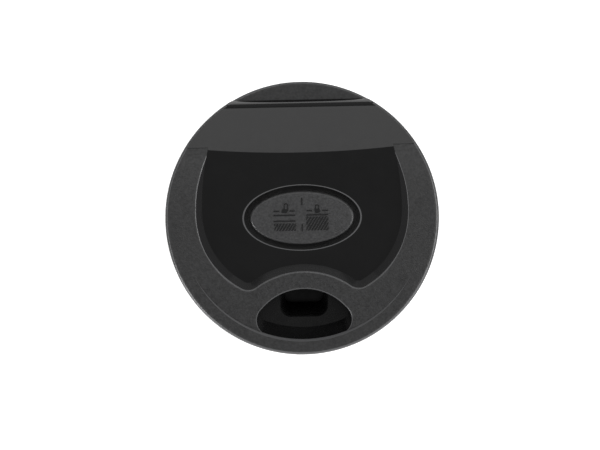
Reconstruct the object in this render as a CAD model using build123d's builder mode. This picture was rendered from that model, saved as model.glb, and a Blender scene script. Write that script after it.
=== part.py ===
from build123d import *
from math import cos, hypot, radians, sin, sqrt
import os

# Drink-through travel mug lid with a push-button valve.
#
# The oval button in the glossy deck is flush while the lid is closed. Pressing it
# drives the plunger and the valve plate down, which opens the flow port under the
# drinking bowl and the vent port behind it. A wire follower in a heart cam holds
# the button down, and the return spring lifts it again.
#
# Frame: millimetres, Z up. The origin is on the lid's axis, in the plane of the
# plug's bottom edge. The drinking mouth is at -Y and the thumb ledge at +Y.

os.makedirs("parts", exist_ok=True)

# --- Overall sizes ---------------------------------------------------------
lid_r = 45.0          # outer radius of the lid
deck_z = 32.0         # height of the flat deck
plug_r = 36.0         # radius of the plug that enters the mug
press = 4.5           # full travel of the button
wall = 2.0            # usual wall of the mouldings

# --- Fits ------------------------------------------------------------------
run_gap = 0.05        # radial gap of a running fit
stop_gap = 0.2        # gap at a stop, in the direction of travel
seal_gap = 0.15       # gap between a face seal and its seat
move_gap = 0.5        # gap between parts that pass each other

# --- Top surface -----------------------------------------------------------
shoulder_r = 1.4      # rounding of the outer edge
lip_w = 5.1           # width of the lip band in front of the mouth
lip_rise = 2.75       # lip band above the deck
lip_half_angle = 61.0 # the lip band's step fades out at this angle from the front
front_rise = 2.35     # ring above the deck, behind the lip band
mid_rise = 2.15       # ring above the deck beside the button
ramp_rise = 1.75      # ring above the deck at the top of the ramp
ramp_len = 11.0       # run of the ramp from the fold to full height
slope = 0.07          # fall of the back slope, per mm
ring_slope = 0.03     # the ring's own fall behind the fold, less than the back slope
ring_step = 0.02      # the ring above the deck at the fold
fold_in = 23.6        # fold line, in from the back of the lid
fold_bow_r = 333.0    # bow of the fold line
fold_slack = 3.5      # the side profile falls this far behind the fold's middle
round_in = 11.5       # start of the rounded drop, in from the back
ledge_w = 6.0         # width of the rear thumb ledge
ledge_edge_r = 1.0    # rounding of the ledge's outer edge
drop_r = 6.0          # radius of the rounded drop to the ledge
back_rim = 0.8        # rim of the shell outside the back slope
wall_edge_r = 0.6     # rounding of the wall's upper edge, round the deck

fold_y = lid_r - fold_in
round_y = lid_r - round_in
chord_y = lid_r - ledge_w
lip_r = lid_r - lip_w
round_z = deck_z - slope * (round_y - fold_y - fold_slack)
ledge_z = round_z - drop_r + sqrt(drop_r**2 - (chord_y - round_y) ** 2)
top_z = deck_z + lip_rise
under_ring_z = deck_z + front_rise - wall

# --- Drinking mouth and bowl -----------------------------------------------
mouth_len = 16.5      # front to back
mouth_w = 31.2        # widest, near the front
mouth_side_in = 10.4  # widest point, in front of the back edge
mouth_corner_in = 1.7 # ends of the front arc, in from the widest point
mouth_end_in = 1.9    # ends of the back arc, in from the widest point
mouth_end_back = 4.3  # and behind it
mouth_edge_rise = 2.3 # foot of the mouth's chamfered edge above the deck
bowl_wall = 1.5
bowl_depth = 7.0      # bowl's floor below the deck
floor_side_in = 1.2   # edge of the bowl's floor, in from the mouth at the sides
floor_front_in = 3.6  # and at the front
floor_back_gap = 0.6  # and behind the drink hole
hole_w = 15.2         # drink hole in the bowl's floor
hole_in = 7.4         # its front edge, in from the lip band
hole_len = 11.0
hole_corner = 3.3
hole_edge = 0.4       # chamfer of its edge

mouth_back_y = mouth_len - lip_r
mouth_side_y = mouth_back_y - mouth_side_in
bowl_floor_z = deck_z - bowl_depth
hole_front_y = hole_in - lip_r
hole_back_y = hole_front_y + hole_len

# --- Deck outline ----------------------------------------------------------
ring_w = 12.1         # matte ring beside the deck
deck_wide_y = 2.5     # where the deck is widest
deck_back_r = 91.0    # side arc behind the widest point
deck_front_x = 6.1    # side arc in front of it: its centre, to the side of the axis
front_mid_angle = -25.0 # a point halfway along that arc
arch_gap = 8.1        # from the mouth to the deck's arch
arch_r = 29.0
cusp_r = 2.2
wall_draft_h = 4.0    # height over which the 45 degree wall is made
panel_t = 1.6         # deck panel
shelf_t = 1.5         # shelf under the panel's edge
shelf_w = 1.6
wing_in = 2.2         # front edge of the back slope beside the deck, behind the fold

deck_x = lid_r - ring_w
deck_front_r = deck_x - deck_front_x
arch_y = mouth_back_y + arch_gap - arch_r

# --- Button ----------------------------------------------------------------
button_a = 17.1       # half length
button_b = 8.8        # half width
moat_a = 2.0          # gap to the deck, at the ends
moat_b = 1.8          # and at the sides
hole_a = button_a + moat_a
hole_b = button_b + moat_b
hole_edge_r = 0.5
cap_wall = 1.6
cap_top_t = 1.8
cap_edge_r = 0.9
collar_wall = 1.6
flange_t = 1.5
flange_under = 1.3    # how far the flange reaches under the collar
spigot_h = 3.0
mark_h = 0.2          # raised marks of the legend

# --- Plug, floor and seal --------------------------------------------------
plug_wall = 2.8
floor_bottom_z = 10.0
floor_t = 2.0
seat_z = 14.5         # underside of the flange, which rests on the mug's rim
body_flange_t = 2.5
skirt_z = 10.5        # bottom edge of the outer skirt
skirt_wall = 1.6
upper_wall = 2.4
groove_z = 7.5
groove_h = 4.5
groove_d = 1.4
fin_reach = 1.6       # gasket fins beyond the plug
fin_t = 0.9
fin_up = 0.8          # how far the fins slant upward
fin_in = 0.3          # from the groove's edges
lead_in = 0.8         # chamfer of the plug's bottom edge

floor_top_z = floor_bottom_z + floor_t
plug_in = plug_r - plug_wall
joint_r = lid_r - skirt_wall
chamber_r = lid_r - upper_wall
body_top_z = seat_z + body_flange_t

# --- Valve -----------------------------------------------------------------
stem_r = 3.0
seal_ring_r = 0.6     # section radius of the stem seal
boss_wall = 1.2
boss_h = 3.0
seal_seat_h = 1.5
washer_t = 0.5
washer_over = 0.6     # the washer beyond the boss
port_w = 13.0
port_len = 7.5
port_corner = 2.4
port_in = 4.8         # front of the port, in from the plug's inner wall
vent_r = 2.2
vent_in = 9.0         # vent centre, in from the plug's inner wall
gasket_t = 1.4
gasket_w = 1.8
gasket_in = 0.7       # seal line outside the port's edge
plate_t = 2.0
plate_gap = 1.8       # free ring for the flow round the valve plate
plate_w = 22.0
screw_r = 1.25
screw_head_r = 3.0
screw_head_h = 1.3
screw_len = 9.0
cross_len = 3.6       # the screw's cross recess
cross_w = 0.8
duct_wall = 1.3
duct_seal_h = 1.2

port_front_y = port_in - plug_in
port_y = port_front_y + port_len / 2
vent_y = plug_in - vent_in
duct_end_z = floor_top_z + duct_seal_h
seat_gasket_z = floor_bottom_z - seal_gap
plate_top_z = seat_gasket_z - gasket_t
plate_bottom_z = plate_top_z - plate_t
seal_seat_r = stem_r + run_gap + 2 * seal_ring_r
boss_r = seal_seat_r + boss_wall
boss_top_z = floor_top_z + boss_h
washer_top_z = boss_top_z + washer_t

# --- Latch -----------------------------------------------------------------
wire_r = 0.4
wire_len = 4.8        # from the wire's pivot to its tip
cam_h = 7.2
cam_t = 2.0
cam_w = 9.0
cam_x = 12.0          # middle of the cam plate
cam_groove_d = 1.0
cam_groove_w = 4.4
wire_gap = 0.6        # from the cam's face to the wire
pivot_drop = 2.0      # pivot below the flange
pivot_len = 2.4
lug_w = 4.0
lug_t = 3.4
lug_gap = 0.3         # from the lug to the hanging part of the wire
lug_below = 1.0       # the lug's end below the pivot
tip_in = 0.3          # the wire's tip clears the bottom of the groove by this
heart_y = -0.55       # the heart island's line, beside the wire's rest line
heart_w = 1.2
heart_top = 1.3       # its top, shoulder, notch and foot, below the tip at rest
heart_shoulder = 2.8
heart_notch = 2.95
heart_foot = 3.4
groove_over = 1.9     # the groove is longer than the wire's travel by this
groove_up = 0.1
groove_corner = 0.8

cam_top_z = floor_top_z + cam_h
flange_z = cam_top_z + move_gap + press
flange_top_z = flange_z + flange_t
collar_z = flange_top_z + stop_gap
pivot_z = flange_z - pivot_drop
tip_z = pivot_z - wire_len
cam_face_x = cam_x + cam_t / 2
wire_x = cam_face_x + wire_gap + wire_r
lug_x = wire_x + wire_r + lug_gap

# --- Return spring ---------------------------------------------------------
spring_in = 0.2       # mean radius of the coils, in from the boss's edge
spring_wire = 0.8
spring_r = boss_r - spring_in


# --- Legend on the button: generic signs in place of words -------------------
# Each half has a padlock between two dashes, a bar under them and a hatched block.
hatch_pitch = 1.0
hatch_line = 0.42
hatch_angle = 32.0
lock_w = 1.7
lock_h = 1.2
lock_line = 0.3
lock_lift = 0.55      # how far the open padlock's shackle is lifted
shackle_len = 2.9
shackle_w = 1.4
divider_line = 0.35   # upright line between the halves, in two lengths
divider_len = 2.4
divider_ys = (5.3, -3.4)
lock_y = 2.2
dash_len = 1.8
dash_from_lock = 2.6
bar_len = 7.2
bar_y = 0.8
line_w = 0.4
open_x = -5.8         # middle of the open half
shut_x = 5.0          # middle of the shut half
low_bar_y = -1.1      # second bar of the open half
open_block = (-9.2, -2.2, -4.3, -1.9)
shut_block = (1.4, 8.6, -4.3, 0.2)

far = 2 * lid_r       # beyond the lid in any direction
lip_start_y = -lip_r * cos(radians(lip_half_angle))


# --- Profiles that several pieces share ------------------------------------
def ring_point(cx, cy, r, angle):
    """A point on a circle, at an angle in degrees from +X."""
    return (cx + r * cos(radians(angle)), cy + r * sin(radians(angle)))


def arc_x(cx, cy, r, y):
    """Where a circle crosses a line of constant y, on its +X side."""
    return cx + sqrt(r**2 - (y - cy) ** 2)


def cusp_point(side_r, round_r):
    """Where the deck's front side arc meets the arch round the mouth."""
    ax = deck_front_x
    ay = deck_wide_y
    dx = -ax
    dy = arch_y - ay
    gap = hypot(dx, dy)
    along = (side_r**2 - round_r**2 + gap**2) / (2 * gap)
    aside = sqrt(side_r**2 - along**2)
    return (
        ax + (along * dx - aside * dy) / gap,
        ay + (along * dy + aside * dx) / gap,
    )


def deck_outline(z, grow=0.0):
    """The flat deck's outline: two side arcs, a cusp each side and the arch."""
    back_r = deck_back_r + grow
    front_r = deck_front_r + grow
    round_r = arch_r - grow
    wide = (deck_x + grow, deck_wide_y)
    end_y = fold_y + 3 * wing_in
    mid_y = (end_y + deck_wide_y) / 2
    back_end = (arc_x(deck_x - deck_back_r, deck_wide_y, back_r, end_y), end_y)
    back_mid = (arc_x(deck_x - deck_back_r, deck_wide_y, back_r, mid_y), mid_y)
    front_mid = ring_point(deck_front_x, deck_wide_y, front_r, front_mid_angle)
    cusp = cusp_point(front_r, round_r)
    with BuildSketch(Plane.XY.offset(z)) as outline:
        with BuildLine():
            Line((0, end_y), back_end)
            ThreePointArc(back_end, back_mid, wide)
            ThreePointArc(wide, front_mid, cusp)
            RadiusArc(cusp, (0, arch_y + round_r), -round_r)
            mirror(about=Plane.YZ)
        make_face()
        fillet(outline.vertices().group_by(Axis.Y)[0], cusp_r + grow)
    return outline.sketch


def panel_outline(z, grow=0.0):
    """The glossy panel: the deck and the back slope that spans the whole lid."""
    wing_y = fold_y + wing_in - grow
    with BuildSketch(Plane.XY.offset(z)) as outline:
        with Locations((0, wing_y)):
            Rectangle(2 * far, chord_y + grow - wing_y, align=(Align.CENTER, Align.MIN))
        Circle(lid_r - back_rim + grow, mode=Mode.INTERSECT)
        add(deck_outline(z, grow))
    return outline.sketch


def four_arcs(z, half_w, side_y, front_y, back_y, corner, end, grow):
    """A closed outline: a front arc from corner to corner, end arcs, and a back arc."""
    left_corner = (-corner[0], corner[1])
    left_end = (-end[0], end[1])
    with BuildSketch(Plane.XY.offset(z)) as outline:
        with BuildLine():
            ThreePointArc(left_corner, (0, front_y), corner)
            ThreePointArc(corner, (half_w, side_y), end)
            ThreePointArc(end, (0, back_y), left_end)
            ThreePointArc(left_end, (-half_w, side_y), left_corner)
        make_face()
        if grow:
            offset(amount=grow)
    return outline.sketch


def mouth_outline(z, grow=0.0):
    """The mouth: its front follows the lip band, its back is a wide arc."""
    corner_x = mouth_w / 2 - mouth_corner_in
    return four_arcs(
        z,
        half_w=mouth_w / 2,
        side_y=mouth_side_y,
        front_y=-lip_r,
        back_y=mouth_back_y,
        corner=(corner_x, -sqrt(lip_r**2 - corner_x**2)),
        end=(mouth_w / 2 - mouth_end_in, mouth_side_y + mouth_end_back),
        grow=grow,
    )


def bowl_floor_outline(z, grow=0.0):
    """The bowl's floor: inside the mouth at the sides and front, behind it at the hole."""
    half_w = mouth_w / 2 - floor_side_in
    floor_r = lip_r - floor_front_in
    corner_x = half_w - mouth_corner_in
    return four_arcs(
        z,
        half_w=half_w,
        side_y=mouth_side_y + floor_side_in,
        front_y=-floor_r,
        back_y=hole_back_y + floor_back_gap,
        corner=(corner_x, -sqrt(floor_r**2 - corner_x**2)),
        end=(half_w - mouth_end_in, mouth_side_y + mouth_end_back + floor_side_in),
        grow=grow,
    )


def hole_outline(z, grow=0.0):
    """The drink hole: a rectangle with round corners."""
    with BuildSketch(Plane.XY.offset(z)) as outline:
        with Locations((0, hole_front_y + hole_len / 2)):
            RectangleRounded(hole_w + 2 * grow, hole_len + 2 * grow, hole_corner + grow)
    return outline.sketch


def port_outline(z, grow=0.0):
    """The flow port in the plug's floor."""
    with BuildSketch(Plane.XY.offset(z)) as outline:
        with Locations((0, port_y)):
            RectangleRounded(port_w + 2 * grow, port_len + 2 * grow, port_corner + grow)
    return outline.sketch


def oval(z, a, b):
    """An ellipse about the button's axis."""
    with BuildSketch(Plane.XY.offset(z)) as outline:
        Ellipse(a, b)
    return outline.sketch


def back_profile(lower):
    """Side view, front to back: the deck, back slope, rounded drop and ledge, lowered."""
    drop_mid_y = (round_y + chord_y) / 2
    drop_mid_z = round_z - drop_r + sqrt(drop_r**2 - (drop_mid_y - round_y) ** 2)
    slope_end = (round_y, round_z - lower)
    drop_end = (chord_y, ledge_z - lower)
    Polyline((fold_y, deck_z - lower), (fold_y + fold_slack, deck_z - lower), slope_end)
    ThreePointArc(slope_end, (drop_mid_y, drop_mid_z - lower), drop_end)
    Line(drop_end, (far, ledge_z - lower))


def below_deck(lower, base_z):
    """Side view of everything between base_z and the lowered deck surface."""
    with BuildSketch(Plane.YZ.offset(-far)) as profile:
        with BuildLine():
            back_profile(lower)
            Polyline(
                (far, ledge_z - lower),
                (far, base_z),
                (-far, base_z),
                (-far, deck_z - lower),
                (fold_y, deck_z - lower),
            )
        make_face()
    return profile.sketch


def below_ring():
    """Side view of everything under the ring, which ramps up from the fold to the front."""
    far_z = deck_z - ring_slope * (far - fold_y)
    with BuildSketch(Plane.YZ.offset(-far)) as profile:
        with BuildLine():
            Spline(
                (-far, top_z),
                (lip_start_y, top_z),
                (0, deck_z + mid_rise),
                (fold_y - ramp_len, deck_z + ramp_rise),
                (fold_y, deck_z + ring_step),
                (far, far_z),
                tangents=((1, 0), (1, -ring_slope)),
            )
            Polyline((far, far_z), (far, skirt_z), (-far, skirt_z), (-far, top_z))
        make_face()
    return profile.sketch


def above_dip():
    """Side view of what is cut behind the lip band: it deepens towards the front."""
    with BuildSketch(Plane.YZ.offset(-far)) as profile:
        with BuildLine():
            Polyline(
                (lip_start_y, top_z),
                (-lid_r, deck_z + front_rise),
                (-lid_r, 2 * top_z),
                (lip_start_y, 2 * top_z),
                close=True,
            )
        make_face()
    return profile.sketch


def above_back():
    """Side view of everything above the back slope, the drop and the ledge."""
    with BuildSketch(Plane.YZ.offset(-far)) as profile:
        with BuildLine():
            back_profile(0)
            Polyline((far, ledge_z), (far, 2 * top_z), (fold_y, 2 * top_z), (fold_y, deck_z))
        make_face()
    return profile.sketch


def carry_across(profile, mode):
    """Extrudes a side profile across the whole lid into the current part."""
    extrude(profile, amount=2 * far, dir=(1, 0, 0), mode=mode)


def trim_back_slope():
    """Cuts the back slope: a flat cone, so that its front edge is a bowed line."""
    dip = 2.5
    with Locations((0, fold_y + fold_bow_r, deck_z)):
        Cone(
            fold_bow_r - dip / slope,
            fold_bow_r,
            dip,
            align=(Align.CENTER, Align.CENTER, Align.MAX),
            mode=Mode.SUBTRACT,
        )
        Cylinder(
            fold_bow_r,
            2 * lip_rise,
            align=(Align.CENTER, Align.CENTER, Align.MIN),
            mode=Mode.SUBTRACT,
        )


def wall_top_edges(part):
    """The edges where the sloping wall round the deck meets the ring."""
    edges = []
    for face in part.faces():
        middle = face.center()
        steep = 0.5 < face.normal_at(middle).Z < 0.8
        if steep and middle.Y > mouth_back_y and deck_z < middle.Z < top_z:
            edges += face.edges()
    spots = [edge.position_at(0.5) for edge in edges]
    return [
        edge
        for edge, spot in zip(edges, spots)
        if spot.Z > deck_z + 10 * ring_step and sum((spot - other).length < 1e-4 for other in spots) == 1
    ]


def slanted_block(x_from, x_to, y_from, y_to):
    """A rectangle of slanted strokes, the sign for a solid block."""
    with BuildSketch(Plane.XY.offset(deck_z)) as block:
        count = int((x_to - x_from) / hatch_pitch) + 3
        with GridLocations(hatch_pitch, 1, count, 1):
            Rectangle(hatch_line, 3 * (y_to - y_from), rotation=-hatch_angle)
        Rectangle(x_to - x_from, y_to - y_from, mode=Mode.INTERSECT)
    return block.sketch.moved(Location(((x_from + x_to) / 2, (y_from + y_to) / 2, 0)))


def padlock(x, y, lift):
    """A padlock sign: a lifted shackle stands for open, a closed one for shut."""
    inner_len = shackle_len - 2 * lock_line
    inner_w = shackle_w - 2 * lock_line
    with BuildSketch(Plane.XY.offset(deck_z)) as sign:
        with Locations((x + lift, y + lock_h / 2 + lift)):
            SlotOverall(shackle_len, shackle_w, rotation=90)
            SlotOverall(inner_len, inner_w, rotation=90, mode=Mode.SUBTRACT)
        with Locations((x, y)):
            Rectangle(lock_w, lock_h)
    return sign.sketch


# --- Top shell: ring, lip band, mouth, outer skirt and thumb ledge -----------
with BuildPart() as panel_room:
    add(panel_outline(body_top_z))
    extrude(amount=top_z)
    carry_across(below_deck(panel_t, 0), Mode.SUBTRACT)

with BuildPart() as chamber_room:
    with BuildSketch(Plane.XY.offset(body_top_z)):
        Circle(chamber_r)
    extrude(amount=top_z)
    carry_across(below_deck(panel_t + shelf_t, 0), Mode.INTERSECT)

with BuildPart() as ring_room:
    room_z = deck_z - panel_t - shelf_t - 1
    with BuildSketch(Plane.XY.offset(room_z)):
        Circle(chamber_r)
        with Locations((0, fold_y - ramp_len - wall)):
            Rectangle(2 * far, far, align=(Align.CENTER, Align.MAX), mode=Mode.INTERSECT)
        add(deck_outline(room_z, 2 * wall), mode=Mode.SUBTRACT)
    extrude(amount=under_ring_z - room_z)

with BuildPart() as lip_inside:
    carry_across(above_dip(), Mode.ADD)
    with Locations((0, 0, deck_z + front_rise)):
        Cone(
            lip_r,
            lip_r + lip_rise,
            lip_rise,
            align=(Align.CENTER, Align.CENTER, Align.MIN),
            mode=Mode.INTERSECT,
        )

with BuildPart() as ledge_edge:
    with BuildSketch(Plane.XZ):
        with Locations((lid_r - ledge_edge_r, ledge_z - ledge_edge_r)):
            Rectangle(2 * ledge_edge_r, 2 * ledge_edge_r, align=(Align.MIN, Align.MIN))
            Circle(ledge_edge_r, mode=Mode.SUBTRACT)
    revolve(axis=Axis.Z)
    with Locations((0, chord_y, 0)):
        Box(far, far, 2 * top_z, align=(Align.CENTER, Align.MIN, Align.MIN), mode=Mode.INTERSECT)

with BuildPart() as top_shell:
    # Blank: the ring's side profile carried across the lid, cut round, with a soft shoulder
    carry_across(below_ring(), Mode.ADD)
    with BuildSketch(Plane.XY.offset(skirt_z)):
        Circle(lid_r)
    extrude(amount=2 * top_z, mode=Mode.INTERSECT)
    fillet(top_shell.faces().sort_by(Axis.Z)[-1].edges(), shoulder_r)
    # Back slope, rounded drop and thumb ledge
    carry_across(above_back(), Mode.SUBTRACT)
    add(ledge_edge.part, mode=Mode.SUBTRACT)
    trim_back_slope()
    # Ring in front of the arch: it dips under the lip band, which leaves a step
    add(lip_inside.part, mode=Mode.SUBTRACT)
    # Deck with its sloping wall
    add(deck_outline(deck_z))
    add(deck_outline(deck_z + wall_draft_h, wall_draft_h))
    loft(mode=Mode.SUBTRACT)
    fillet(wall_top_edges(top_shell.part), wall_edge_r)
    # Mouth, with a chamfered edge
    add(mouth_outline(under_ring_z - wall))
    extrude(amount=top_z, mode=Mode.SUBTRACT)
    extrude(mouth_outline(deck_z + mouth_edge_rise), amount=lip_rise, taper=-45, mode=Mode.SUBTRACT)
    # Seat, shelf window and hollow under the panel
    add(panel_room.part, mode=Mode.SUBTRACT)
    add(panel_outline(body_top_z, -shelf_w))
    extrude(amount=top_z, mode=Mode.SUBTRACT)
    add(chamber_room.part, mode=Mode.SUBTRACT)
    add(ring_room.part, mode=Mode.SUBTRACT)
    with BuildSketch(Plane.XY.offset(skirt_z)):
        Circle(joint_r)
    extrude(amount=body_top_z - skirt_z, mode=Mode.SUBTRACT)
top_shell.part.label = "top_shell"
export_step(top_shell.part, "parts/top_shell.step")

# --- Deck panel: glossy deck and back slope, with a collar round the button --
with BuildPart() as deck_panel:
    add(panel_outline(body_top_z))
    extrude(amount=top_z)
    carry_across(below_deck(0, 0), Mode.INTERSECT)
    carry_across(below_deck(panel_t, -far), Mode.SUBTRACT)
    trim_back_slope()
    add(oval(collar_z, hole_a + collar_wall, hole_b + collar_wall))
    extrude(amount=deck_z - panel_t / 2 - collar_z)
    add(oval(collar_z - 1, hole_a, hole_b))
    extrude(amount=deck_z, mode=Mode.SUBTRACT)
    fillet(deck_panel.edges().filter_by(GeomType.ELLIPSE).group_by(Axis.Z)[-1], hole_edge_r)
deck_panel.part.label = "deck_panel"
export_step(deck_panel.part, "parts/deck_panel.step")

# --- Spout bowl: bowl under the mouth, drink hole and duct to the floor ------
with BuildPart() as spout_bowl:
    add(mouth_outline(under_ring_z, bowl_wall))
    add(bowl_floor_outline(bowl_floor_z - bowl_wall, bowl_wall))
    loft()
    add(hole_outline(bowl_floor_z - bowl_wall / 2, duct_wall))
    add(port_outline(duct_end_z, duct_wall))
    loft()
    add(mouth_outline(under_ring_z))
    add(bowl_floor_outline(bowl_floor_z))
    loft(mode=Mode.SUBTRACT)
    add(hole_outline(bowl_floor_z - bowl_wall / 2))
    extrude(amount=bowl_wall * 2, mode=Mode.SUBTRACT)
    add(hole_outline(bowl_floor_z - bowl_wall / 2))
    add(port_outline(duct_end_z))
    loft(mode=Mode.SUBTRACT)
    extrude(hole_outline(bowl_floor_z - hole_edge), amount=bowl_wall, taper=-45, mode=Mode.SUBTRACT)
spout_bowl.part.label = "spout_bowl"
export_step(spout_bowl.part, "parts/spout_bowl.step")

# --- Button cap with its raised legend ---------------------------------------
with BuildPart() as button_cap:
    add(oval(flange_top_z, button_a, button_b))
    extrude(amount=deck_z - flange_top_z)
    fillet(button_cap.faces().sort_by(Axis.Z)[-1].edges(), cap_edge_r)
    add(oval(flange_top_z, button_a - cap_wall, button_b - cap_wall))
    extrude(amount=deck_z - cap_top_t - flange_top_z, mode=Mode.SUBTRACT)
    with BuildSketch(Plane.XY.offset(deck_z)):
        for divider_y in divider_ys:
            with Locations((0, divider_y)):
                Rectangle(divider_line, divider_len)
        with Locations((open_x, bar_y), (shut_x, bar_y), (open_x, low_bar_y)):
            Rectangle(bar_len, line_w)
        add(slanted_block(*open_block))
        add(slanted_block(*shut_block))
        for lock_x, lift in ((open_x, lock_lift), (shut_x, 0)):
            add(padlock(lock_x, lock_y, lift))
            with Locations((lock_x - dash_from_lock, lock_y), (lock_x + dash_from_lock, lock_y)):
                Rectangle(dash_len, line_w)
    extrude(amount=mark_h)
button_cap.part.label = "button_cap"
export_step(button_cap.part, "parts/button_cap.step")

# --- Plunger: flange, spigot for the cap, stem and lug for the latch wire ----
with BuildPart() as plunger:
    add(oval(flange_z, hole_a + flange_under, hole_b + flange_under))
    extrude(amount=flange_t)
    add(oval(flange_top_z, button_a - cap_wall - run_gap, button_b - cap_wall - run_gap))
    extrude(amount=spigot_h)
    add(oval(flange_top_z, button_a - 2 * cap_wall, button_b - 2 * cap_wall))
    extrude(amount=spigot_h, mode=Mode.SUBTRACT)
    with BuildSketch(Plane.XY.offset(plate_top_z)):
        Circle(stem_r)
    extrude(amount=flange_z - plate_top_z)
    with BuildSketch(Plane.XY.offset(flange_z)):
        with Locations((lug_x + lug_t / 2, 0)):
            Rectangle(lug_t, lug_w)
    extrude(amount=-pivot_drop - lug_below)
    with BuildSketch(Plane.YZ.offset(lug_x)):
        with Locations((0, pivot_z)):
            Circle(wire_r + run_gap)
    extrude(amount=pivot_len + lug_gap, mode=Mode.SUBTRACT)
    with BuildSketch(Plane.XY.offset(plate_top_z)):
        Circle(screw_r)
    extrude(amount=screw_len, mode=Mode.SUBTRACT)
plunger.part.label = "plunger"
export_step(plunger.part, "parts/plunger.step")

# --- Latch wire: hangs from the plunger's lug, its tip runs in the cam -------
with BuildPart() as latch_wire:
    with BuildLine(Plane.XZ) as wire_path:
        FilletPolyline(
            (lug_x + pivot_len, pivot_z),
            (wire_x, pivot_z),
            (wire_x, tip_z),
            (cam_face_x - cam_groove_d + tip_in, tip_z),
            radius=2 * wire_r,
        )
    with BuildSketch(Plane(origin=wire_path.line @ 0, z_dir=wire_path.line % 0)):
        Circle(wire_r)
    sweep()
latch_wire.part.label = "latch_wire"
export_step(latch_wire.part, "parts/latch_wire.step")

# --- Latch cam: an upright plate on the floor with a heart-shaped track ------
with BuildPart() as latch_cam:
    with BuildSketch(Plane.XY.offset(floor_top_z)):
        with Locations((cam_x, 0)):
            Rectangle(cam_t, cam_w)
    extrude(amount=cam_h)
    with BuildSketch(Plane.YZ.offset(cam_face_x)):
        with Locations((0, tip_z - press / 2 + groove_up)):
            RectangleRounded(cam_groove_w, press + groove_over, groove_corner)
        with BuildLine():
            Polyline(
                (heart_y, tip_z - heart_top),
                (heart_y + heart_w / 2, tip_z - heart_shoulder),
                (heart_y + heart_w / 3, tip_z - heart_foot),
                (heart_y, tip_z - heart_notch),
                (heart_y - heart_w / 3, tip_z - heart_foot),
                (heart_y - heart_w / 2, tip_z - heart_shoulder),
                close=True,
            )
        make_face(mode=Mode.SUBTRACT)
    extrude(amount=-cam_groove_d, mode=Mode.SUBTRACT)
latch_cam.part.label = "latch_cam"
export_step(latch_cam.part, "parts/latch_cam.step")

# --- Lower body: plug, floor with its ports, stem boss and flange ------------
with BuildPart() as lower_body:
    with BuildSketch(Plane.XZ):
        with BuildLine():
            Polyline(
                (plug_in, 0),
                (plug_r, 0),
                (plug_r, groove_z),
                (plug_r - groove_d, groove_z),
                (plug_r - groove_d, groove_z + groove_h),
                (plug_r, groove_z + groove_h),
                (plug_r, seat_z),
                (joint_r, seat_z),
                (joint_r, body_top_z),
                (plug_in, body_top_z),
                (plug_in, floor_top_z),
                (boss_r, floor_top_z),
                (boss_r, boss_top_z),
                (seal_seat_r, boss_top_z),
                (seal_seat_r, boss_top_z - seal_seat_h),
                (stem_r + run_gap, boss_top_z - seal_seat_h),
                (stem_r + run_gap, floor_bottom_z),
                (plug_in, floor_bottom_z),
                close=True,
            )
        make_face()
    revolve(axis=Axis.Z)
    bottom_circles = lower_body.edges().filter_by(GeomType.CIRCLE).group_by(Axis.Z)[0]
    chamfer(bottom_circles.sort_by(SortBy.RADIUS)[-1], lead_in)
    add(port_outline(floor_bottom_z))
    extrude(amount=floor_t, mode=Mode.SUBTRACT)
    with BuildSketch(Plane.XY.offset(floor_bottom_z)):
        with Locations((0, vent_y)):
            Circle(vent_r)
    extrude(amount=floor_t, mode=Mode.SUBTRACT)
    # Room for the duct, which passes the plug's wall at an angle
    add(hole_outline(bowl_floor_z - bowl_wall / 2, duct_wall + move_gap))
    add(port_outline(duct_end_z, duct_wall + move_gap))
    loft(mode=Mode.SUBTRACT)
lower_body.part.label = "lower_body"
export_step(lower_body.part, "parts/lower_body.step")

# --- Mug gasket: a ring in the plug's groove with two soft fins --------------
with BuildPart() as mug_gasket:
    with BuildSketch(Plane.XZ):
        with Locations((plug_r - groove_d, groove_z)):
            Rectangle(groove_d, groove_h, align=(Align.MIN, Align.MIN))
        for fin_z in (groove_z + fin_in, groove_z + groove_h - fin_t - fin_up - fin_in):
            with BuildLine():
                Polyline(
                    (plug_r - groove_d / 2, fin_z),
                    (plug_r, fin_z),
                    (plug_r + fin_reach, fin_z + fin_up),
                    (plug_r + fin_reach, fin_z + fin_up + fin_t / 2),
                    (plug_r, fin_z + fin_t),
                    (plug_r - groove_d / 2, fin_z + fin_t),
                    close=True,
                )
            make_face()
    revolve(axis=Axis.Z)
mug_gasket.part.label = "mug_gasket"
export_step(mug_gasket.part, "parts/mug_gasket.step")

# --- Duct seal: between the bowl's duct and the plug's floor -----------------
with BuildPart() as duct_seal:
    with BuildSketch(Plane.XY.offset(floor_top_z)):
        add(port_outline(floor_top_z, duct_wall))
        add(port_outline(floor_top_z), mode=Mode.SUBTRACT)
    extrude(amount=duct_seal_h)
duct_seal.part.label = "duct_seal"
export_step(duct_seal.part, "parts/duct_seal.step")

# --- Stem seal: an O-ring in the boss round the stem -------------------------
with BuildPart() as stem_seal:
    with Locations((0, 0, boss_top_z - seal_seat_h + seal_ring_r)):
        Torus(stem_r + run_gap + seal_ring_r, seal_ring_r)
stem_seal.part.label = "stem_seal"
export_step(stem_seal.part, "parts/stem_seal.step")

# --- Spring washer: keeps the stem seal in and carries the spring ------------
with BuildPart() as spring_washer:
    with BuildSketch(Plane.XY.offset(boss_top_z)):
        Circle(boss_r + washer_over)
        Circle(stem_r + move_gap, mode=Mode.SUBTRACT)
    extrude(amount=washer_t)
spring_washer.part.label = "spring_washer"
export_step(spring_washer.part, "parts/spring_washer.step")

# --- Return spring: the closed ring that its coils fill ----------------------
with BuildPart() as return_spring:
    with BuildSketch(Plane.XY.offset(washer_top_z)):
        Circle(spring_r + spring_wire / 2)
        Circle(spring_r - spring_wire / 2, mode=Mode.SUBTRACT)
    extrude(amount=flange_z - run_gap - washer_top_z)
return_spring.part.label = "return_spring"
export_step(return_spring.part, "parts/return_spring.step")

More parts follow.
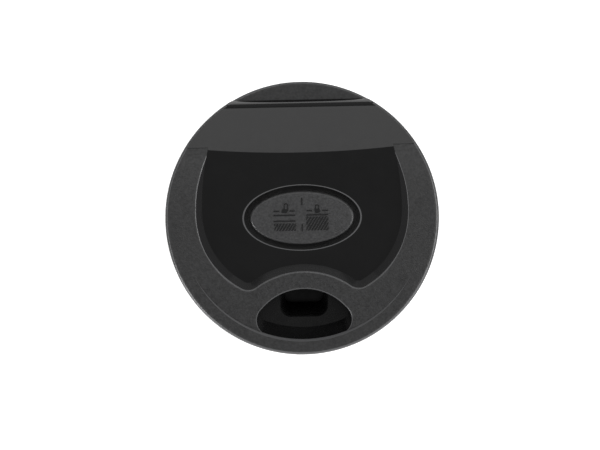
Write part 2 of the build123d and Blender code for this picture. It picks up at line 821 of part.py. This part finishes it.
# --- Valve plate, its two seals and its screw --------------------------------
with BuildPart() as valve_plate:
    with BuildSketch(Plane.XY.offset(plate_bottom_z)):
        Circle(plug_in - plate_gap)
        Rectangle(plate_w, far, mode=Mode.INTERSECT)
        Circle(screw_r + run_gap, mode=Mode.SUBTRACT)
    extrude(amount=plate_t)
valve_plate.part.label = "valve_plate"
export_step(valve_plate.part, "parts/valve_plate.step")

with BuildPart() as valve_gasket:
    with BuildSketch(Plane.XY.offset(plate_top_z)):
        add(port_outline(plate_top_z, gasket_in + gasket_w))
        add(port_outline(plate_top_z, gasket_in), mode=Mode.SUBTRACT)
    extrude(amount=gasket_t)
valve_gasket.part.label = "valve_gasket"
export_step(valve_gasket.part, "parts/valve_gasket.step")

with BuildPart() as vent_gasket:
    with BuildSketch(Plane.XY.offset(plate_top_z)):
        with Locations((0, vent_y)):
            Circle(vent_r + gasket_in + gasket_w)
            Circle(vent_r + gasket_in, mode=Mode.SUBTRACT)
    extrude(amount=gasket_t)
vent_gasket.part.label = "vent_gasket"
export_step(vent_gasket.part, "parts/vent_gasket.step")

with BuildPart() as valve_screw:
    with BuildSketch(Plane.XY.offset(plate_bottom_z)):
        Circle(screw_head_r)
    extrude(amount=-screw_head_h)
    with BuildSketch(Plane.XY.offset(plate_bottom_z)):
        Circle(screw_r)
    extrude(amount=plate_t + screw_len - move_gap)
    with BuildSketch(Plane.XY.offset(plate_bottom_z - screw_head_h)):
        Rectangle(cross_len, cross_w)
        Rectangle(cross_w, cross_len)
    extrude(amount=screw_head_h / 2, mode=Mode.SUBTRACT)
valve_screw.part.label = "valve_screw"
export_step(valve_screw.part, "parts/valve_screw.step")
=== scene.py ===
import math

import bmesh
import bpy
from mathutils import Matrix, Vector


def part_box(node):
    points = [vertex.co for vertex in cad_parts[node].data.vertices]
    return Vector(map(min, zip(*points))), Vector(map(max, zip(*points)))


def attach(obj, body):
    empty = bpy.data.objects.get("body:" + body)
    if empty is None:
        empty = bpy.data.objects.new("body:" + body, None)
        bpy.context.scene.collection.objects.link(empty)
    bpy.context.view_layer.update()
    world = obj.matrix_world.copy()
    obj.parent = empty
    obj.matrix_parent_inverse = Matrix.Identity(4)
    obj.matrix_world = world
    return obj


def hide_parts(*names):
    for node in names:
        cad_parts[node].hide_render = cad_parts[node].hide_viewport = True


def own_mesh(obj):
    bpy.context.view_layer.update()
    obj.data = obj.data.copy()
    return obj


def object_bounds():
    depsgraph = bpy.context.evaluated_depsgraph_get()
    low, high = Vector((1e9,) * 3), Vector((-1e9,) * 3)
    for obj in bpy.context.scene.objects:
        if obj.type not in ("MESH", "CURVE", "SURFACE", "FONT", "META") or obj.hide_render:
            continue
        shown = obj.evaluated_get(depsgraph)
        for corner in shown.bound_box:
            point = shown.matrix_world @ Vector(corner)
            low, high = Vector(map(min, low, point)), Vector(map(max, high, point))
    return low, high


# The looks of a drink-through travel mug lid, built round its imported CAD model.
#
# Metres, Z up, in the CAD model's own frame: the lid's axis is the Z axis, the
# drinking mouth is at -Y and the thumb ledge at +Y. Nearly every visible piece is a
# CAD node with a procedural moulded-plastic, silicone or steel finish. The return
# spring is a wound coil that stands for its plain CAD sleeve.

MM = 0.001

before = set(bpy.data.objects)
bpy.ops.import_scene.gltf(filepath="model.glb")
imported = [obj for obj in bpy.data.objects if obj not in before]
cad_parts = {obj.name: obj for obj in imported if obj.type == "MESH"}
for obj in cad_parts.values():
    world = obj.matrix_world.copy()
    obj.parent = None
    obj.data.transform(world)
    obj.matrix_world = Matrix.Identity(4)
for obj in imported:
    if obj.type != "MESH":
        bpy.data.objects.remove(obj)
cad_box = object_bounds()

# --- Places on the lid, for finishes that change along it -----------------------
cap_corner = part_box("button_cap")[1]
rim_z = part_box("top_shell")[1].z
spring_low, spring_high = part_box("return_spring")

MARK_H = 0.2 * MM             # the button's raised marks stand this much above the deck
MARK_Z = cap_corner.z
DECK_Z = MARK_Z - MARK_H
CHAMFER_Z = DECK_Z + 2.26 * MM  # the mouth's and the lip step's chamfers start here
CHAMFER_FADE = 0.05 * MM
HOLE_A = cap_corner.x + 2.0 * MM  # half length and half width of the button's hole
HOLE_B = cap_corner.y + 1.8 * MM
HOLE_EDGE = (1.006, 1.024, 0.008)  # its rounded edge, in shares of the hole, and the fade
FADE_FROM, FADE_TO = 13 * MM, 21 * MM  # the ring's grain fades out towards the fold

# The upward part of the surface normal: lowest, highest and the fade on either side
WALL_FACING = (0.62, 0.78, 0.04)     # 45 degree walls
ROUND_FACING = (0.80, 0.91, 0.03)    # rounded edges above them
CHAMFER_FACING = (0.5, 0.8, 0.1)

# --- Surface values --------------------------------------------------------------
NOISE_LOW, NOISE_HIGH = 0.3, 0.7     # most of a noise lies between these
NO_GRAIN = 0.5                # height of a surface without grain
PATCH = 2.2 * MM              # patches of more and less gloss
WAVE = 9 * MM                 # slow waviness of a moulded face
POLISHED_ROUGH = 0.09
POLISHED_GREY = 0.009
# Fine edges are painted a lighter grey: a painted highlight in place of the lines of light along
# them, which are taken to be reflections, not wear, and which the lights here don't give.
PAINTED_HIGHLIGHT_ROUGH = 0.3
PAINTED_HIGHLIGHT_GREY = 0.075
BLUE = 1.03                   # the greys are this much bluer than neutral
METAL_DARK = 0.8              # dark marks in steel, as a share of its colour

# --- Light -----------------------------------------------------------------------
WORLD_LEVEL = 0.24            # straight above, at the horizon and at the back
TENT_LEVEL = 1.0              # the lit tent round the front and the sides
TENT_EDGES = (0.22, 0.72, 0.12)  # sines of its lower and upper edge, and the fade
TENT_OPEN = (0.1, 0.5)        # it fades out between these, towards the back
FLOOR_SIZE = 6.0
FLOOR_GLOW = 0.65             # the floor is a lit table, so it shows hardly any shadow
PAPER_DARK, PAPER_LIGHT = 0.88, 0.92
PAPER_CLOUDS = 0.25           # size of the paper's unevenness

# --- Camera: straight above, long lens; the lid sits a little high, turned slightly
VIEW_WIDTH = 196.5 * MM       # across the frame, at the height of the lid's rim
RIGHT_OF_MIDDLE = 0.70 * MM   # where the lid's axis is in the frame
ABOVE_MIDDLE = 2.47 * MM
LID_TURN = math.radians(1.2)  # counter-clockwise, as seen
LENS = 135.0
SENSOR = 36.0
CLIP_NEAR, CLIP_FAR = 0.05, 10

# --- Return spring ---------------------------------------------------------------
WIRE_R = 0.4 * MM
TURNS = 5.5
DEAD_TURNS = 1.0              # closed turns at each end
RING_STEPS = 12
TURN_STEPS = 40


# --- Nodes: each of these gives an output socket, unless it says otherwise -------
def node(tree, kind, inputs, **settings):
    """A new node, given back whole. Its inputs are values, or sockets to link to."""
    made = tree.nodes.new(kind)
    for key, value in settings.items():
        setattr(made, key, value)
    for key, value in inputs.items():
        if isinstance(value, bpy.types.NodeSocket):
            tree.links.new(value, made.inputs[key])
        else:
            made.inputs[key].default_value = value
    return made


def material(name):
    """A new node material: (material, its node tree, its Principled shader)."""
    made = bpy.data.materials.new(name)
    made.use_nodes = True
    return made, made.node_tree, made.node_tree.nodes["Principled BSDF"]


def coordinates(tree, kind):
    """"Object" for the place on the object, "Normal" for its facing, "Generated" for the sky."""
    return tree.nodes.new("ShaderNodeTexCoord").outputs[kind]


def axis_of(tree, kind, axis):
    """One axis of those coordinates."""
    return node(tree, "ShaderNodeSeparateXYZ", {"Vector": coordinates(tree, kind)}).outputs[axis]


def scaled(tree, scale):
    """The place on the object, scaled along each axis."""
    where = {"Vector": coordinates(tree, "Object"), "Scale": scale}
    return node(tree, "ShaderNodeMapping", where).outputs["Vector"]


def noise(tree, size, detail, rough=0.5, stretch=None):
    """Noise with features of that size in metres, in the object's own coordinates."""
    where = scaled(tree, stretch) if stretch else coordinates(tree, "Object")
    look = {"Vector": where, "Scale": 1 / size, "Detail": detail, "Roughness": rough}
    return node(tree, "ShaderNodeTexNoise", look).outputs["Fac"]


def spread(tree, value, low, high, start=NOISE_LOW, end=NOISE_HIGH):
    """value mapped from start..end to low..high."""
    ends = {"From Min": start, "From Max": end, "To Min": low, "To Max": high}
    return node(tree, "ShaderNodeMapRange", {"Value": value, **ends}).outputs["Result"]


def tint(tree, value, dark, light):
    """A colour between dark and light, by value."""
    ramp = node(tree, "ShaderNodeValToRGB", {"Fac": value})
    first, last = ramp.color_ramp.elements
    first.position, first.color = NOISE_LOW, (*dark, 1)
    last.position, last.color = NOISE_HIGH, (*light, 1)
    return ramp.outputs["Color"]


def bump(tree, height, depth, normal=None):
    """A bump of that depth in metres, laid over another normal if one is given."""
    look = {"Strength": 1.0, "Distance": depth, "Height": height}
    if normal:
        look["Normal"] = normal
    return node(tree, "ShaderNodeBump", look).outputs["Normal"]


def combine(tree, one, other, how):
    """Two values put together: how is MAXIMUM or MULTIPLY."""
    return node(tree, "ShaderNodeMath", {0: one, 1: other}, operation=how).outputs["Value"]


def band(tree, value, low, high, soft):
    """1 where value lies between low and high, fading to 0 over soft on either side."""
    rise = spread(tree, value, 0.0, 1.0, low - soft, low)
    fall = spread(tree, value, 1.0, 0.0, high, high + soft)
    return combine(tree, rise, fall, "MULTIPLY")


def blend(tree, share, value, other):
    """value where share is 0 and the number other where it is 1."""
    look = {"Factor": share, "A": value, "B": other}
    return node(tree, "ShaderNodeMix", look, data_type="FLOAT").outputs["Result"]


def blend_colour(tree, share, value, other):
    """value where share is 0 and the colour other where it is 1."""
    look = {"Fac": share, "Color1": value, "Color2": (*other, 1)}
    return node(tree, "ShaderNodeMixRGB", look).outputs["Color"]


# --- Where a finish changes: each gives a share, 1 on the place that it names ----
def shell_walls(tree):
    """The 45 degree walls of the shell."""
    return band(tree, axis_of(tree, "Normal", "Z"), *WALL_FACING)


def shell_fold(tree):
    """The ring towards the fold."""
    return spread(tree, axis_of(tree, "Object", "Y"), 0.0, 1.0, FADE_FROM, FADE_TO)


def shell_edges(tree):
    """The shell's rounded upper edges, and the chamfers that are higher than the wall, which get a
    painted highlight.
    """
    facing = axis_of(tree, "Normal", "Z")
    height = axis_of(tree, "Object", "Z")
    high = spread(tree, height, 0.0, 1.0, CHAMFER_Z, CHAMFER_Z + CHAMFER_FADE)
    chamfer = combine(tree, high, band(tree, facing, *CHAMFER_FACING), "MULTIPLY")
    return combine(tree, band(tree, facing, *ROUND_FACING), chamfer, "MAXIMUM")


def hole_edge(tree):
    """The rounded edge of the panel's hole for the button, an ellipse, which gets a painted
    highlight.
    """
    where = {0: scaled(tree, (1 / HOLE_A, 1 / HOLE_B, 0))}
    reach = node(tree, "ShaderNodeVectorMath", where, operation="LENGTH").outputs["Value"]
    return band(tree, reach, *HOLE_EDGE)


def mark_tops(tree):
    """The tops of the button's raised marks."""
    height = axis_of(tree, "Object", "Z")
    return spread(tree, height, 0.0, 1.0, MARK_Z - MARK_H / 2, MARK_Z - MARK_H / 10)


# --- Finishes --------------------------------------------------------------------
def grey(level):
    return (level, level, level * BLUE)


def moulded(name, dark, light, rough, grain, grain_depth, wave_depth=0.0, ior=1.5,
            mottle=6 * MM, polished=None, plain=None, painted_highlight=None):
    """A moulded polymer: mottled grey and gloss, a fine grain and a slow waviness.

    polished, plain and bright may each give a share: 1 where the piece is polished, where
    it has no grain and where an edge is painted lighter, a painted highlight.
    """
    made, tree, shader = material(name)
    colour = tint(tree, noise(tree, mottle, detail=4.0), grey(dark), grey(light))
    gloss = spread(tree, noise(tree, PATCH, detail=5.0, rough=0.6), *rough)
    height = noise(tree, grain, detail=2.0)
    if polished:
        share = polished(tree)
        gloss = blend(tree, share, gloss, POLISHED_ROUGH)
        colour = blend_colour(tree, share, colour, grey(POLISHED_GREY))
        height = blend(tree, share, height, NO_GRAIN)
    if plain:
        height = blend(tree, plain(tree), height, NO_GRAIN)
    # Painted highlight: edges in this share are painted a lighter grey in place of reflections.
    if painted_highlight:
        share = painted_highlight(tree)
        colour = blend_colour(tree, share, colour, grey(PAINTED_HIGHLIGHT_GREY))
        gloss = blend(tree, share, gloss, PAINTED_HIGHLIGHT_ROUGH)
    normal = bump(tree, height, grain_depth)
    if wave_depth:
        normal = bump(tree, noise(tree, WAVE, detail=1.0), wave_depth, normal)
    shader.inputs["IOR"].default_value = ior
    tree.links.new(colour, shader.inputs["Base Color"])
    tree.links.new(gloss, shader.inputs["Roughness"])
    tree.links.new(normal, shader.inputs["Normal"])
    return made


def metal(name, colour, rough, grain, grain_depth, stretch):
    """Drawn or turned steel, with its marks stretched along one direction."""
    made, tree, shader = material(name)
    marks = noise(tree, grain, detail=4.0, stretch=stretch)
    dark = tuple(METAL_DARK * part for part in colour)
    shader.inputs["Metallic"].default_value = 1.0
    tree.links.new(tint(tree, marks, dark, colour), shader.inputs["Base Color"])
    tree.links.new(spread(tree, marks, *rough), shader.inputs["Roughness"])
    tree.links.new(bump(tree, marks, grain_depth), shader.inputs["Normal"])
    return made


MOULDED = {
    "shell_plastic": dict(
        dark=0.005, light=0.019, rough=(0.36, 0.58), grain=0.45 * MM, grain_depth=0.14 * MM,
        mottle=0.8 * MM, polished=shell_walls, plain=shell_fold, painted_highlight=shell_edges,
    ),
    "gloss_plastic": dict(
        dark=0.0030, light=0.0040, rough=(0.07, 0.11), grain=0.9 * MM, grain_depth=0.0006 * MM,
        wave_depth=0.004 * MM, painted_highlight=hole_edge,
    ),
    "bowl_plastic": dict(
        dark=0.0065, light=0.0085, rough=(0.22, 0.30), grain=0.6 * MM, grain_depth=0.002 * MM,
        ior=1.38,
    ),
    "button_plastic": dict(
        dark=0.016, light=0.036, rough=(0.28, 0.44), grain=0.4 * MM, grain_depth=0.12 * MM,
        mottle=0.7 * MM, polished=mark_tops,
    ),
    "mechanism_plastic": dict(
        dark=0.014, light=0.020, rough=(0.35, 0.45), grain=0.4 * MM, grain_depth=0.004 * MM,
        wave_depth=0.004 * MM,
    ),
    "body_plastic": dict(
        dark=0.014, light=0.020, rough=(0.34, 0.44), grain=0.4 * MM, grain_depth=0.006 * MM,
        wave_depth=0.006 * MM,
    ),
    "gasket_silicone": dict(
        dark=0.045, light=0.058, rough=(0.5, 0.62), grain=0.5 * MM, grain_depth=0.006 * MM,
        ior=1.41,
    ),
    "seal_silicone": dict(
        dark=0.30, light=0.36, rough=(0.48, 0.6), grain=0.5 * MM, grain_depth=0.005 * MM,
        ior=1.41,
    ),
}
METAL = {
    "spring_steel": dict(
        colour=(0.56, 0.56, 0.55), rough=(0.2, 0.34), grain=0.3 * MM, grain_depth=0.002 * MM,
        stretch=(1, 1, 8),
    ),
    "screw_steel": dict(
        colour=(0.60, 0.60, 0.59), rough=(0.24, 0.4), grain=0.3 * MM, grain_depth=0.003 * MM,
        stretch=(1, 1, 8),
    ),
}
FINISH = {slot: moulded(slot, **look) for slot, look in MOULDED.items()}
FINISH.update({slot: metal(slot, **look) for slot, look in METAL.items()})

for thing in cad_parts.values():
    slot = thing.material_slots[0].name.split(".")[0]
    thing.material_slots[0].material = FINISH[slot]


# --- Return spring ---------------------------------------------------------------
def coil_height(turn, bottom, top):
    """Height of the wire's middle after that many turns: closed ends, even pitch between."""
    closed = 2 * WIRE_R * DEAD_TURNS
    if turn < DEAD_TURNS:
        return bottom + closed * turn / DEAD_TURNS
    if turn > TURNS - DEAD_TURNS:
        return top - closed * (TURNS - turn) / DEAD_TURNS
    share = (turn - DEAD_TURNS) / (TURNS - 2 * DEAD_TURNS)
    return bottom + closed + share * (top - bottom - 2 * closed)


def coil(low, high):
    """A compression spring that fills the box between two corners."""
    mesh = bmesh.new()
    mean_r = (high.x - low.x) / 2 - WIRE_R
    rings = []
    for step in range(int(TURNS * TURN_STEPS) + 1):
        turn = step / TURN_STEPS
        z = coil_height(turn, low.z + WIRE_R, high.z - WIRE_R)
        out = Vector((math.cos(2 * math.pi * turn), math.sin(2 * math.pi * turn), 0))
        ring = []
        for k in range(RING_STEPS):
            around = 2 * math.pi * k / RING_STEPS
            spot = out * (mean_r + WIRE_R * math.cos(around))
            ring.append(mesh.verts.new(spot + Vector((0, 0, z + WIRE_R * math.sin(around)))))
        rings.append(ring)
    for ring, after in zip(rings, rings[1:]):
        for k in range(RING_STEPS):
            n = (k + 1) % RING_STEPS
            mesh.faces.new((ring[k], ring[n], after[n], after[k]))
    mesh.faces.new(rings[0][::-1])
    mesh.faces.new(rings[-1])
    bmesh.ops.recalc_face_normals(mesh, faces=mesh.faces)
    return mesh


def put(name, shape, body, slot):
    """A finished bmesh as a smooth-shaded piece that rides on body."""
    mesh = bpy.data.meshes.new(name)
    shape.to_mesh(mesh)
    shape.free()
    mesh.shade_smooth()
    mesh.materials.append(FINISH[slot])
    piece = bpy.data.objects.new(name, mesh)
    bpy.context.scene.collection.objects.link(piece)
    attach(piece, body)
    return piece


spring = put("spring_coil", coil(spring_low, spring_high), "lid", "spring_steel")
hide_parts("return_spring")
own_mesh(spring)

# --- Floor: a sheet of paper on a lit table --------------------------------------
bpy.ops.mesh.primitive_plane_add(size=FLOOR_SIZE, location=(0, 0, cad_box[0].z))
floor = bpy.context.object
floor.name = "floor"
paper, tree, shader = material("floor_paper")
clouds = noise(tree, PAPER_CLOUDS, detail=2.0)
tree.links.new(tint(tree, clouds, (PAPER_DARK,) * 3, (PAPER_LIGHT,) * 3), shader.inputs["Base Color"])
shader.inputs["Roughness"].default_value = 0.9
shader.inputs["Specular IOR Level"].default_value = 0.1
shader.inputs["Emission Color"].default_value = (1, 1, 1, 1)
shader.inputs["Emission Strength"].default_value = FLOOR_GLOW
floor.data.materials.append(paper)

# --- Light tent and softboxes ----------------------------------------------------
world = bpy.data.worlds.new("studio")
bpy.context.scene.world = world
world.use_nodes = True
tree = world.node_tree
tent = band(tree, axis_of(tree, "Generated", "Z"), *TENT_EDGES)
front = spread(tree, axis_of(tree, "Generated", "Y"), 1.0, 0.0, *TENT_OPEN)
tent = combine(tree, tent, front, "MULTIPLY")
sky = tree.nodes["Background"]
sky.inputs["Color"].default_value = (1, 1, 1, 1)
tree.links.new(spread(tree, tent, WORLD_LEVEL, TENT_LEVEL, 0.0, 1.0), sky.inputs["Strength"])


def softbox(name, place, aim, width, depth, level):
    """A rectangular softbox of that radiance."""
    light = bpy.data.lights.new(name, "AREA")
    light.shape = "RECTANGLE"
    light.size, light.size_y = width, depth
    light.energy = level * math.pi * width * depth
    lamp = bpy.data.objects.new(name, light)
    bpy.context.scene.collection.objects.link(lamp)
    lamp.location = place
    lamp.rotation_mode = "QUATERNION"
    lamp.rotation_quaternion = (Vector(aim) - Vector(place)).to_track_quat("-Z", "Y")


softbox("back_box", place=(0, 0.62, 0.95), aim=(0, 0.05, 0), width=1.8, depth=1.0, level=1.15)
softbox("sweep", place=(0, 1.5, 0.35), aim=(0, 0, 0.2), width=2.4, depth=0.7, level=0.10)
softbox("left_box", place=(-0.9, -0.55, 0.30), aim=(0, 0, 0), width=0.5, depth=0.3, level=12.0)
softbox("right_box", place=(1.0, -0.12, 0.62), aim=(0, 0, 0), width=0.9, depth=0.45, level=6.0)

# --- Camera ----------------------------------------------------------------------
camera_data = bpy.data.cameras.new("camera")
camera_data.lens = LENS
camera_data.sensor_width = SENSOR
camera_data.clip_start = CLIP_NEAR
camera_data.clip_end = CLIP_FAR
camera = bpy.data.objects.new("camera", camera_data)
bpy.context.scene.collection.objects.link(camera)
camera.rotation_euler = (0, 0, -LID_TURN)
camera.location = (
    -RIGHT_OF_MIDDLE * math.cos(LID_TURN) - ABOVE_MIDDLE * math.sin(LID_TURN),
    RIGHT_OF_MIDDLE * math.sin(LID_TURN) - ABOVE_MIDDLE * math.cos(LID_TURN),
    rim_z + VIEW_WIDTH * LENS / SENSOR,
)
bpy.context.scene.camera = camera
bpy.context.scene.view_settings.view_transform = "Standard"
